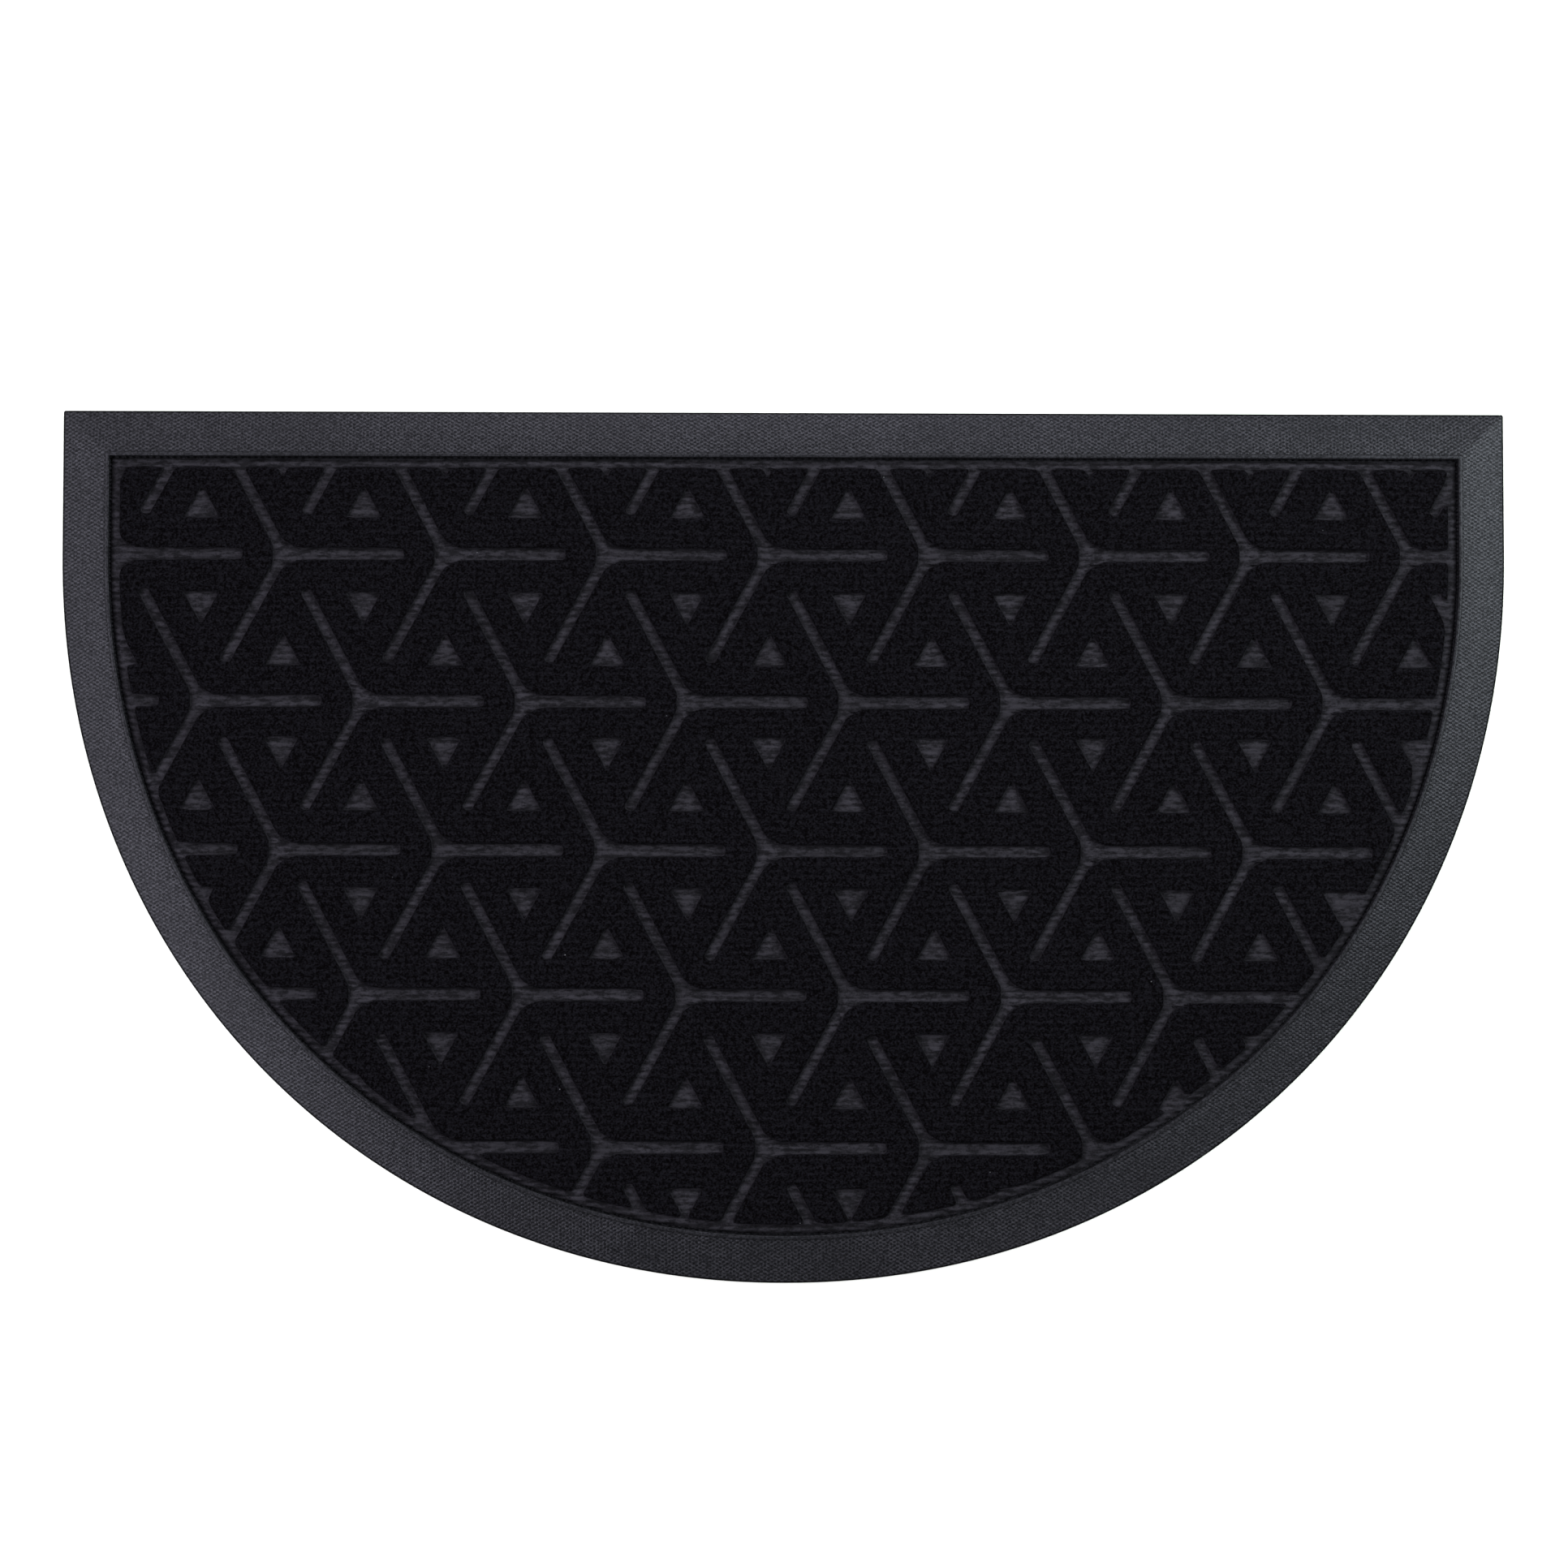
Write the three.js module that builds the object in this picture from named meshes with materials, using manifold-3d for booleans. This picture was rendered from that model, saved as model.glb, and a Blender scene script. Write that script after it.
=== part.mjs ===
// Half round doormat: a moulded rubber tray with a bevelled border, and a ribbed carpet pressed into it.
// Millimetres, +Z up. The origin is at the middle of the underside, the straight edge lies towards +Y and
// the round edge towards -Y.
import * as THREE from "three";
import { mergeVertices } from "three/addons/utils/BufferGeometryUtils.js";
import Module from "manifold-3d";

// Plan of the mat
const WIDTH = 760;
const DEPTH = 457;
const STRAIGHT_SIDE = 75; // the sides run straight this far before the round edge begins
const ROUNDNESS = 2.056; // exponent of the round edge: 2 is a plain ellipse, more is a little fuller
const CURVE_STEPS = 68;
const CORNER_STEPS = 3;

// Rubber tray
const BORDER = 24.9; // from the outer edge to the recess, round the curve and the sides
const STRAIGHT_SHARE = 0.975; // the border along the straight edge is narrower by this share
const FLOOR = 2.4; // rubber under the carpet
const EDGE_HEIGHT = 2.2; // outer edge of the border
const CREST_HEIGHT = 6.4; // top of the slope
const LIP_RISE = 0.6; // the lip stands proud of the slope by this much
const LIP_WIDTH = 2.4;
const SOFT_EDGE = 0.6; // small rounding of the moulded edges
const OUTER_CORNER = 1; // radius of the two square corners, seen from above
const SOFT_CORNER = 0.7; // the same, where the edge is rounded off
const RECESS_CORNER = 0.8;

// Carpet
const CLEARANCE = 0.3; // between the carpet and the tray
const CHANNEL = 0.9; // dark gap between the tray's lip and the carpet
const FLANGE = 4.8; // pressed rim of the carpet
const RIM_RUN = 1.6; // the flange falls off over this much towards the gap
const RIM_FALL = 0.9; // by this much
const PRESSED_HEIGHT = 4.6; // top of the pressed carpet
const PILE_HEIGHT = 7.8; // top of the raised pile
const WALL_RUN = 1.5; // a pressed wall leans out by this much over its height
const BURIED = 0.8; // the raised blocks are rooted this deep in the pressed sheet
const CARPET_CORNER = 1.2;
const PILE_CORNER = 3;

// Pressed pattern: rows of three-armed stars, with rows of triangles between them that point up or down. Each
// row has the height of its motifs, the x of the one nearest the middle and the spacing along the row, which
// are a little uneven, as the carpet came out of the press.
const PATTERN_ROWS = [
  { motif: "star", height: 230.7, middle: 33.3, spacing: 84.8 },
  { motif: "down", height: 204.7, middle: -9.5, spacing: 84.9 },
  { motif: "up", height: 177.6, middle: 33.1, spacing: 84.9 },
  { motif: "star", height: 152.6, middle: -9.3, spacing: 84.7 },
  { motif: "down", height: 126.7, middle: 33.1, spacing: 84.9 },
  { motif: "up", height: 99.8, middle: -8.5, spacing: 85.0 },
  { motif: "star", height: 75.0, middle: 33.4, spacing: 84.9 },
  { motif: "down", height: 50.4, middle: -8.8, spacing: 85.1 },
  { motif: "up", height: 23.4, middle: 33.3, spacing: 85.2 },
  { motif: "star", height: -3.1, middle: -9.5, spacing: 85.0 },
  { motif: "down", height: -28.7, middle: 34.3, spacing: 85.5 },
  { motif: "up", height: -53.9, middle: -7.8, spacing: 85.7 },
  { motif: "star", height: -78.7, middle: 33.2, spacing: 85.2 },
  { motif: "down", height: -104.4, middle: -8.8, spacing: 85.6 },
  { motif: "up", height: -131.7, middle: 33.3, spacing: 85.5 },
  { motif: "star", height: -158.2, middle: -10.1, spacing: 85.5 },
  { motif: "down", height: -184.8, middle: 33.5, spacing: 85.7 },
  { motif: "star", height: -235.5, middle: 33.5, spacing: 85.5 },
];
const ROW_FALL = 0.0024; // a row drops by this share of its length towards the right, half way down the mat
const FALL_GROWTH = 0.000014; // and by this much more for each millimetre further down

// The three arms of a star, in degrees from the right
const ARMS = [
  { angle: 0, length: 63.0, width: 6.1 },
  { angle: 117.9, length: 66.5, width: 5.5 },
  { angle: 241.3, length: 64.8, width: 5.5 },
];

const ARM_TIP_CORNER = 1.9; // how far the rounding of a tip's corner reaches along its sides
const ARM_FILLET = 15.5; // between two arms
const TRIANGLE_BASE = 18.8;
const TRIANGLE_HEIGHT = 17.4;
const TRIANGLE_CORNER = 2.8;
const LINK_WIDTH = 4.3; // a short channel joins a triangle's corner to the flange
const LINK_REACH = 3.4; // where less pile than this would be left between them
const SIDE_REACH = 6; // a whole side this near the flange is pressed through to it

const wasm = await Module();
wasm.setup();

// Half the full width that is left at a height y below the start of the round edge, for an outline inset by a
// distance.
function halfWidthAt(y, inset) {
  const side = WIDTH / 2 - inset;
  const curveStart = DEPTH / 2 - STRAIGHT_SIDE;
  const curveDepth = DEPTH - STRAIGHT_SIDE - inset;
  const down = Math.max(0, (curveStart - y) / curveDepth);
  return down >= 1 ? 0 : side * (1 - down ** ROUNDNESS) ** (1 / ROUNDNESS);
}

function isInside(point, inset) {
  const top = DEPTH / 2 - inset * STRAIGHT_SHARE;
  return point.y < top && Math.abs(point.x) < halfWidthAt(point.y, inset);
}

// Points of the half round outline, anticlockwise from the right end of the straight edge, each moved inwards
// by the inset.
function outlinePoints(inset, cornerRadius) {
  const points = [];
  const side = WIDTH / 2 - inset;
  const top = DEPTH / 2 - inset * STRAIGHT_SHARE;
  for (const [direction, firstAngle] of [[1, 0], [-1, Math.PI / 2]]) {
    const centre = new THREE.Vector2(direction * (side - cornerRadius), top - cornerRadius);
    for (let step = 0; step <= CORNER_STEPS; step++) {
      const angle = firstAngle + (step / CORNER_STEPS) * (Math.PI / 2);
      const arm = new THREE.Vector2(Math.cos(angle), Math.sin(angle));
      points.push(centre.clone().addScaledVector(arm, cornerRadius));
    }
  }
  const halfWidth = WIDTH / 2;
  const curveDepth = DEPTH - STRAIGHT_SIDE;
  const curveStart = DEPTH / 2 - STRAIGHT_SIDE;
  for (let step = 0; step <= CURVE_STEPS; step++) {
    const angle = (step / CURVE_STEPS) * Math.PI;
    const across = -Math.sign(Math.cos(angle)) * Math.abs(Math.cos(angle)) ** (2 / ROUNDNESS);
    const down = Math.sin(angle) ** (2 / ROUNDNESS);
    const outwards = new THREE.Vector2(
      (Math.sign(across) * Math.abs(across) ** (ROUNDNESS - 1)) / halfWidth,
      -(down ** (ROUNDNESS - 1)) / curveDepth,
    ).normalize();
    const onEdge = new THREE.Vector2(halfWidth * across, curveStart - curveDepth * down);
    points.push(onEdge.addScaledVector(outwards, -inset));
  }
  return points;
}

// Closed geometry through a stack of outlines with equal numbers of points. Each row of the table is an
// inset, a height and a corner radius. The first outline is closed facing down and the last facing up.
function stackedOutlines(rows) {
  const rings = rows.map(({ inset, height, corner }) =>
    outlinePoints(inset, corner).map((p) => new THREE.Vector3(p.x, p.y, height)),
  );
  const count = rings[0].length;
  const faces = [];
  for (let ring = 0; ring + 1 < rings.length; ring++) {
    for (let i = 0; i < count; i++) {
      const a = ring * count + i;
      const b = ring * count + ((i + 1) % count);
      faces.push(a, b, b + count, a, b + count, a + count);
    }
  }
  const lastRing = (rings.length - 1) * count;
  for (const [a, b, c] of THREE.ShapeUtils.triangulateShape(rings[0], [])) {
    faces.push(a, c, b);
  }
  for (const [a, b, c] of THREE.ShapeUtils.triangulateShape(rings.at(-1), [])) {
    faces.push(lastRing + a, lastRing + b, lastRing + c);
  }
  const geometry = new THREE.BufferGeometry().setFromPoints(rings.flat());
  geometry.setIndex(faces);
  return geometry;
}

function solidFrom(geometry) {
  const bare = geometry.clone();
  bare.deleteAttribute("normal");
  bare.deleteAttribute("uv");
  const merged = mergeVertices(bare);
  return new wasm.Manifold(
    new wasm.Mesh({
      numProp: 3,
      vertProperties: merged.attributes.position.array,
      triVerts: new Uint32Array(merged.index.array),
    }),
  );
}

function geometryFrom(solid) {
  const { vertProperties, triVerts } = solid.getMesh();
  const geometry = new THREE.BufferGeometry();
  geometry.setAttribute("position", new THREE.BufferAttribute(vertProperties, 3));
  geometry.setIndex(new THREE.BufferAttribute(triVerts, 1));
  return geometry;
}

// Tray section from the underside, over the border and down into the recess
function makeTray() {
  const slopeEnd = BORDER - LIP_WIDTH;
  const lipTop = CREST_HEIGHT + LIP_RISE;
  return stackedOutlines([
    { inset: SOFT_EDGE, height: 0, corner: SOFT_CORNER },
    { inset: 0, height: SOFT_EDGE, corner: OUTER_CORNER },
    { inset: 0, height: EDGE_HEIGHT - SOFT_EDGE, corner: OUTER_CORNER },
    { inset: SOFT_EDGE, height: EDGE_HEIGHT, corner: SOFT_CORNER },
    { inset: slopeEnd, height: CREST_HEIGHT, corner: RECESS_CORNER },
    { inset: slopeEnd + SOFT_EDGE, height: lipTop, corner: RECESS_CORNER },
    { inset: BORDER - SOFT_EDGE, height: lipTop, corner: RECESS_CORNER },
    { inset: BORDER, height: CREST_HEIGHT, corner: RECESS_CORNER },
    { inset: BORDER + SOFT_EDGE, height: FLOOR, corner: RECESS_CORNER },
  ]);
}

// Cutter with leaning walls: as drawn half way up the pressed wall, narrower at its foot, wider at its mouth
function pressCutter(shape, place) {
  const cutter = new THREE.ExtrudeGeometry(shape, {
    depth: WALL_RUN,
    steps: 1,
    curveSegments: 2,
    bevelThickness: PILE_HEIGHT - PRESSED_HEIGHT + BURIED,
    bevelSize: WALL_RUN,
    bevelOffset: -WALL_RUN / 2,
    bevelSegments: 1,
  });
  return cutter.translate(place.x, place.y, PILE_HEIGHT);
}

// Three arms that leave the centre, each pair joined by a large fillet that touches both
function starShape() {
  const shape = new THREE.Shape();
  const centre = new THREE.Vector2();
  ARMS.forEach(({ angle: degrees, length, width }, i) => {
    const angle = THREE.MathUtils.degToRad(degrees);
    const next = ARMS[(i + 1) % ARMS.length];
    const wedge = THREE.MathUtils.degToRad((next.angle - degrees + 360) % 360);
    const half = width / 2;
    const shoulder = length - ARM_TIP_CORNER;
    const [start, first, across, back, last, end] = [
      [shoulder, -half],
      [length, -half],
      [length, ARM_TIP_CORNER - half],
      [length, half - ARM_TIP_CORNER],
      [length, half],
      [shoulder, half],
    ].map(([reach, aside]) => new THREE.Vector2(reach, aside).rotateAround(centre, angle));
    if (i === 0) {
      shape.moveTo(start.x, start.y);
    } else {
      shape.lineTo(start.x, start.y);
    }
    shape.quadraticCurveTo(first.x, first.y, across.x, across.y);
    shape.lineTo(back.x, back.y);
    shape.quadraticCurveTo(last.x, last.y, end.x, end.y);
    const fromThis = half + ARM_FILLET;
    const fromNext = next.width / 2 + ARM_FILLET;
    const along = (fromNext + fromThis * Math.cos(wedge)) / Math.sin(wedge);
    const fillet = new THREE.Vector2(along, fromThis).rotateAround(centre, angle);
    shape.absarc(fillet.x, fillet.y, ARM_FILLET, angle - Math.PI / 2, angle + wedge + Math.PI / 2, true);
  });
  return shape;
}

function triangleCorners(pointsUp) {
  const tip = pointsUp ? 1 : -1;
  const corners = [
    new THREE.Vector2(-TRIANGLE_BASE / 2, (-tip * TRIANGLE_HEIGHT) / 3),
    new THREE.Vector2(TRIANGLE_BASE / 2, (-tip * TRIANGLE_HEIGHT) / 3),
    new THREE.Vector2(0, (tip * TRIANGLE_HEIGHT * 2) / 3),
  ];
  return pointsUp ? corners : corners.reverse();
}

function triangleShape(pointsUp) {
  const shape = new THREE.Shape();
  const corners = triangleCorners(pointsUp);
  corners.forEach((corner, i) => {
    const before = corners[(i + 2) % 3];
    const after = corners[(i + 1) % 3];
    const towards = (end) =>
      corner.clone().addScaledVector(end.clone().sub(corner).normalize(), TRIANGLE_CORNER);
    const start = towards(before);
    const end = towards(after);
    if (i === 0) {
      shape.moveTo(start.x, start.y);
    } else {
      shape.lineTo(start.x, start.y);
    }
    shape.quadraticCurveTo(corner.x, corner.y, end.x, end.y);
  });
  return shape;
}

// Channel from a triangle's middle out through one of its corners
function cornerLink(corner) {
  const out = corner.clone().normalize();
  const aside = new THREE.Vector2(-out.y, out.x).multiplyScalar(LINK_WIDTH / 2);
  const end = corner.clone().addScaledVector(out, LINK_REACH + FLANGE);
  return new THREE.Shape([
    aside.clone().negate(),
    end.clone().sub(aside),
    end.clone().add(aside),
    aside,
  ]);
}

// A triangle's whole side moved out to the flange
function sideLink(corner, next) {
  const out = sideNormal(corner, next).multiplyScalar(SIDE_REACH + FLANGE);
  return new THREE.Shape([
    new THREE.Vector2(),
    corner,
    corner.clone().add(out),
    next.clone().add(out),
    next,
  ]);
}

function sideNormal(corner, next) {
  const along = next.clone().sub(corner).normalize();
  return new THREE.Vector2(along.y, -along.x);
}

// A triangle, and the links that join it to the flange where it lies close to it
function triangleCutters(middle, pointsUp, pileInset) {
  const corners = triangleCorners(pointsUp);
  const lies = (corner, out, reach) =>
    isInside(corner.clone().addScaledVector(out, reach).add(middle), pileInset);
  if (!corners.some((corner) => lies(corner, corner, 0))) {
    return [];
  }
  const cutters = [pressCutter(triangleShape(pointsUp), middle)];
  corners.forEach((corner, i) => {
    const next = corners[(i + 1) % corners.length];
    const out = corner.clone().normalize();
    if (lies(corner, out, 0) && !lies(corner, out, LINK_REACH)) {
      cutters.push(pressCutter(cornerLink(corner), middle));
    }
    const aside = sideNormal(corner, next);
    const ends = [corner, next];
    if (ends.every((end) => lies(end, aside, 0)) && !ends.some((end) => lies(end, aside, SIDE_REACH))) {
      cutters.push(pressCutter(sideLink(corner, next), middle));
    }
  });
  return cutters;
}

function starCutters(star, pileInset) {
  const tips = ARMS.map(({ angle, length }) =>
    new THREE.Vector2(length, 0)
      .rotateAround(new THREE.Vector2(), THREE.MathUtils.degToRad(angle))
      .add(star),
  );
  const shows = [star, ...tips].some((point) => isInside(point, pileInset));
  return shows ? [pressCutter(starShape(), star)] : [];
}

function pressedPattern() {
  const cutters = [];
  const pileInset = BORDER + CHANNEL + FLANGE;
  for (const { motif, height, middle, spacing } of PATTERN_ROWS) {
    const fall = ROW_FALL - FALL_GROWTH * height;
    const motifsAside = Math.ceil(WIDTH / 2 / spacing) + 1;
    for (let column = -motifsAside; column <= motifsAside; column++) {
      const x = middle + column * spacing;
      const place = new THREE.Vector2(x, height - fall * x);
      const made =
        motif === "star"
          ? starCutters(place, pileInset)
          : triangleCutters(place, motif === "up", pileInset);
      cutters.push(...made);
    }
  }
  return cutters;
}

// The pressed sheet reaches under the raised blocks, which are what is left between the cutters
function makeCarpet() {
  const edge = BORDER + CHANNEL;
  const pileFoot = edge + FLANGE - WALL_RUN / 2;
  const sheet = stackedOutlines([
    { inset: edge, height: FLOOR + CLEARANCE, corner: CARPET_CORNER },
    { inset: edge, height: PRESSED_HEIGHT - RIM_FALL, corner: CARPET_CORNER },
    { inset: edge + RIM_RUN, height: PRESSED_HEIGHT, corner: CARPET_CORNER },
  ]);
  const pile = stackedOutlines([
    { inset: pileFoot, height: PRESSED_HEIGHT - BURIED, corner: PILE_CORNER },
    { inset: pileFoot + WALL_RUN, height: PILE_HEIGHT, corner: PILE_CORNER },
  ]);
  let raised = solidFrom(pile);
  for (const cutter of pressedPattern()) {
    raised = raised.subtract(solidFrom(cutter));
  }
  return geometryFrom(solidFrom(sheet).add(raised));
}

function makePiece(name, geometry, colour, roughness) {
  const material = new THREE.MeshStandardMaterial({ color: colour, roughness, metalness: 0 });
  const shown = geometry.toNonIndexed();
  shown.computeVertexNormals();
  const mesh = new THREE.Mesh(shown, material);
  mesh.name = name;
  return mesh;
}

const doormat = new THREE.Group();
doormat.name = "half_round_doormat";
doormat.add(makePiece("rubber_base", makeTray(), 0x3a393e, 0.6));
doormat.add(makePiece("carpet_inlay", makeCarpet(), 0x141416, 0.95));

export default doormat;
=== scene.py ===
# Half round doormat: a moulded rubber tray with a bevelled, dimpled border, and a black ribbed carpet that
# is pressed down in stars and triangles and along its rim. Metres, +Z up, the straight edge towards +Y.
import math

import bpy
import numpy as np
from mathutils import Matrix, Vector


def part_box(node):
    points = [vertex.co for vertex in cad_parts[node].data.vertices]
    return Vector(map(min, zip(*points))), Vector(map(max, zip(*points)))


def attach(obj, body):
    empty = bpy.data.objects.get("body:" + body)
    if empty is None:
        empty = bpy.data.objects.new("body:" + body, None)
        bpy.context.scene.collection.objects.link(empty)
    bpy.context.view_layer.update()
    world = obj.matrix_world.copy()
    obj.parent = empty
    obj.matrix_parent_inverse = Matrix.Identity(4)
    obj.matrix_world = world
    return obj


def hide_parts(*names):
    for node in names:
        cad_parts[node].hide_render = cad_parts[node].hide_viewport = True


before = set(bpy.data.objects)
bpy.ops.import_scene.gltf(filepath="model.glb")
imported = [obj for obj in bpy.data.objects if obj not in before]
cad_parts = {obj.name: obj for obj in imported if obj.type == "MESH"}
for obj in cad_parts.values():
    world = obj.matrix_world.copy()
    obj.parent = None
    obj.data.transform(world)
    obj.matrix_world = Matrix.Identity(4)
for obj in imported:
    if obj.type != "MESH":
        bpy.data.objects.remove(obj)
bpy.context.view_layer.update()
MM = 0.001

# The photo is a square, and the camera looks almost straight down from just below the mat's middle. Its
# place, angles and lens were fitted to the photo's outline by a script.
CAMERA_PLACE = (-29.3 * MM, -45.9 * MM, 1800 * MM)
CAMERA_TILT = math.radians(2.49)
CAMERA_YAW = math.radians(-0.909)
CAMERA_ROLL = math.radians(0.037)
SENSOR = 36.0
LENS = 78.64

# Plan of the mat, from the frame
tray_low, tray_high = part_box("rubber_base")
carpet_low, carpet_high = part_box("carpet_inlay")
WIDTH = tray_high.x - tray_low.x
DEPTH = tray_high.y - tray_low.y
STRAIGHT_SIDE = 75 * MM
CURVE_START = DEPTH / 2 - STRAIGHT_SIDE
CURVE_DEPTH = DEPTH - STRAIGHT_SIDE
ROUNDNESS = 2.056

# Rubber tray
BORDER = 24.9 * MM
STRAIGHT_SHARE = 0.975
FLOOR = 2.4 * MM
EDGE_HEIGHT = 2.2 * MM
CREST_HEIGHT = 6.4 * MM
WALL_SHADE = 3.4 * MM  # below this the wall inside the lip is in the dark of the gap
LIP_TOP = tray_high.z
LIP_WIDTH = 2.1 * MM
SOFT_EDGE = 0.6 * MM
LIP_ROUND = 0.3 * MM  # inside the lip
OUTER_CORNER = 1 * MM
SOFT_CORNER = 0.7 * MM
SLOPE_CAMBER = 0.09  # the slope bulges by this share of its rise
SLOPE_SHARES = [0.025, 0.12, 0.24, 0.36, 0.48, 0.6, 0.72, 0.84, 0.96, 1]
# The crease between the slope and the lip is painted darker, as shade in the crease
CREASE_OPEN = 0.6  # between the slope and the lip
LIP_OPEN = 1.1  # polished by rubbing
RECESS_OPEN = 1
LIP_STEPS = 4  # in each of the two roundings of the lip
CURVE_STEPS = 180
CORNER_STEPS = 5
NEVER_ZERO = 1e-6
TRAY_SMOOTH_ANGLE = math.radians(35)

# Carpet
CHANNEL = 0.9 * MM
FLANGE = 4.8 * MM
RIM_RUN = 4 * MM  # the flange rounds off over this much towards the gap
RIM_FALL = 1.0 * MM  # by this much
RIM_CURVE = 1.6  # exponent of the fall
RIM_SHARES = [0.25, 0.6, 1]
CARPET_INSET = BORDER + CHANNEL
PILE_INSET = CARPET_INSET + FLANGE
PILE_CORNER = 3 * MM
PILE_TOP = carpet_high.z
PRESSED_TOP = 4.6 * MM
RIB_PITCH = 3.6 * MM
ROWS_PER_RIB = 5
PILE_RIB_DEPTH = 0.55 * MM
PRESSED_RIB_DEPTH = 0.35 * MM
RIB_WAVES = [  # the ribs wander a little up and down along their length
    {"reach": 0.9 * MM, "length": 430 * MM, "start": 0.6},
    {"reach": 0.5 * MM, "length": 170 * MM, "start": 2.1},
]
FILL_SPACING = 6.5 * MM
SAMPLE_SPACING = 0.25 * MM
CLOSEST_MARKS = 0.12 * MM
CAP_POINTS = 17  # across the last bit of the round edge, below the first row
CARPET_SMOOTH_ANGLE = math.radians(60)
WALL_FOOT = -0.55 * MM  # distances from the middle of a pressed wall, inwards below zero
WALL_SHOULDER = 0.2 * MM
WALL_TOP = 0.9 * MM
SHOULDER_SHARE = 0.8  # of the wall's height is reached at the shoulder

# Pressed pattern, a row for each line of motifs, in millimetres. These numbers were fitted to the photo by a
# script and not worked out from a repeat.
PATTERN_ROWS = [
    {"motif": "star", "height": 230.7, "middle": 33.3, "spacing": 84.8},
    {"motif": "down", "height": 204.7, "middle": -9.5, "spacing": 84.9},
    {"motif": "up", "height": 177.6, "middle": 33.1, "spacing": 84.9},
    {"motif": "star", "height": 152.6, "middle": -9.3, "spacing": 84.7},
    {"motif": "down", "height": 126.7, "middle": 33.1, "spacing": 84.9},
    {"motif": "up", "height": 99.8, "middle": -8.5, "spacing": 85.0},
    {"motif": "star", "height": 75.0, "middle": 33.4, "spacing": 84.9},
    {"motif": "down", "height": 50.4, "middle": -8.8, "spacing": 85.1},
    {"motif": "up", "height": 23.4, "middle": 33.3, "spacing": 85.2},
    {"motif": "star", "height": -3.1, "middle": -9.5, "spacing": 85.0},
    {"motif": "down", "height": -28.7, "middle": 34.3, "spacing": 85.5},
    {"motif": "up", "height": -53.9, "middle": -7.8, "spacing": 85.7},
    {"motif": "star", "height": -78.7, "middle": 33.2, "spacing": 85.2},
    {"motif": "down", "height": -104.4, "middle": -8.8, "spacing": 85.6},
    {"motif": "up", "height": -131.7, "middle": 33.3, "spacing": 85.5},
    {"motif": "star", "height": -158.2, "middle": -10.1, "spacing": 85.5},
    {"motif": "down", "height": -184.8, "middle": 33.5, "spacing": 85.7},
    {"motif": "star", "height": -235.5, "middle": 33.5, "spacing": 85.5},
]
ROW_FALL = 0.0024
FALL_GROWTH = 0.000014  # for each millimetre further down

# The three arms of a star, in degrees from the right, measured by a script on an average of the photo's stars
ARMS = [
    {"angle": 0, "length": 63.0 * MM, "width": 6.1 * MM},
    {"angle": 117.9, "length": 66.5 * MM, "width": 5.5 * MM},
    {"angle": 241.3, "length": 64.8 * MM, "width": 5.5 * MM},
]
LONGEST_ARM = max(arm["length"] for arm in ARMS)
ARM_TIP_ROUND = 2.3 * MM
ARM_BLEND = 7.75 * MM  # the large fillet between two arms
TRIANGLE_BASE = 18.8 * MM
TRIANGLE_HEIGHT = 17.4 * MM
TRIANGLE_ROUND = 1.0 * MM
RIM_BLEND = 2.6 * MM  # where a groove runs out into the flange
LINK_WIDTH = 4.3 * MM
LINK_REACH = 3.4 * MM
SIDE_REACH = 6 * MM
FAR = 50 * MM
REACH_OF_BLENDS = 9 * MM


def deselect_all():
    for other in list(bpy.context.selected_objects):
        other.select_set(False)


def make_active(obj):
    deselect_all()
    obj.select_set(True)
    bpy.context.view_layer.objects.active = obj


def as_arrays(points):
    return np.asarray(points, float)


# Plan: how far in from the outer edge a point lies, and the outline at a given inset
def side_inset(x, y):
    down = np.maximum((CURVE_START - y) / CURVE_DEPTH, 0)
    across = np.abs(x) / (WIDTH / 2)
    level = (across**ROUNDNESS + down**ROUNDNESS) ** (1 / ROUNDNESS)
    safe = np.maximum(level, NEVER_ZERO)
    slope_x = (across / safe) ** (ROUNDNESS - 1) / (WIDTH / 2)
    slope_y = (down / safe) ** (ROUNDNESS - 1) / CURVE_DEPTH
    return (1 - level) / np.hypot(slope_x, slope_y)


def straight_inset(y):
    return (DEPTH / 2 - y) / STRAIGHT_SHARE


def half_width_at(y, inset):
    down = np.clip((CURVE_START - y) / (CURVE_DEPTH - inset), 0, 1)
    return (WIDTH / 2 - inset) * (1 - down**ROUNDNESS) ** (1 / ROUNDNESS)


def is_inside(point, inset):
    x, y = point
    return bool(straight_inset(y) > inset and side_inset(x, y) > inset)


def curve_points(inset, steps):
    angle = np.linspace(0, math.pi, steps + 1)
    across = -np.sign(np.cos(angle)) * np.abs(np.cos(angle)) ** (2 / ROUNDNESS)
    down = np.sin(angle) ** (2 / ROUNDNESS)
    out_x = np.sign(across) * np.abs(across) ** (ROUNDNESS - 1) / (WIDTH / 2)
    out_y = -(down ** (ROUNDNESS - 1)) / CURVE_DEPTH
    length = np.hypot(out_x, out_y)
    x = WIDTH / 2 * across - inset * out_x / length
    y = CURVE_START - CURVE_DEPTH * down - inset * out_y / length
    return np.stack([x, y], 1)


def outline_points(inset, corner_radius):
    """The half round outline, anticlockwise from the right end of the straight edge."""
    side = WIDTH / 2 - inset
    top = DEPTH / 2 - inset * STRAIGHT_SHARE
    corners = []
    for direction, first_angle in ((1, 0), (-1, math.pi / 2)):
        angle = first_angle + np.linspace(0, 1, CORNER_STEPS + 1) * math.pi / 2
        centre = (direction * (side - corner_radius), top - corner_radius)
        corners.append(np.stack([centre[0] + corner_radius * np.cos(angle),
                                 centre[1] + corner_radius * np.sin(angle)], 1))
    return np.concatenate([*corners, curve_points(inset, CURVE_STEPS)])


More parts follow.
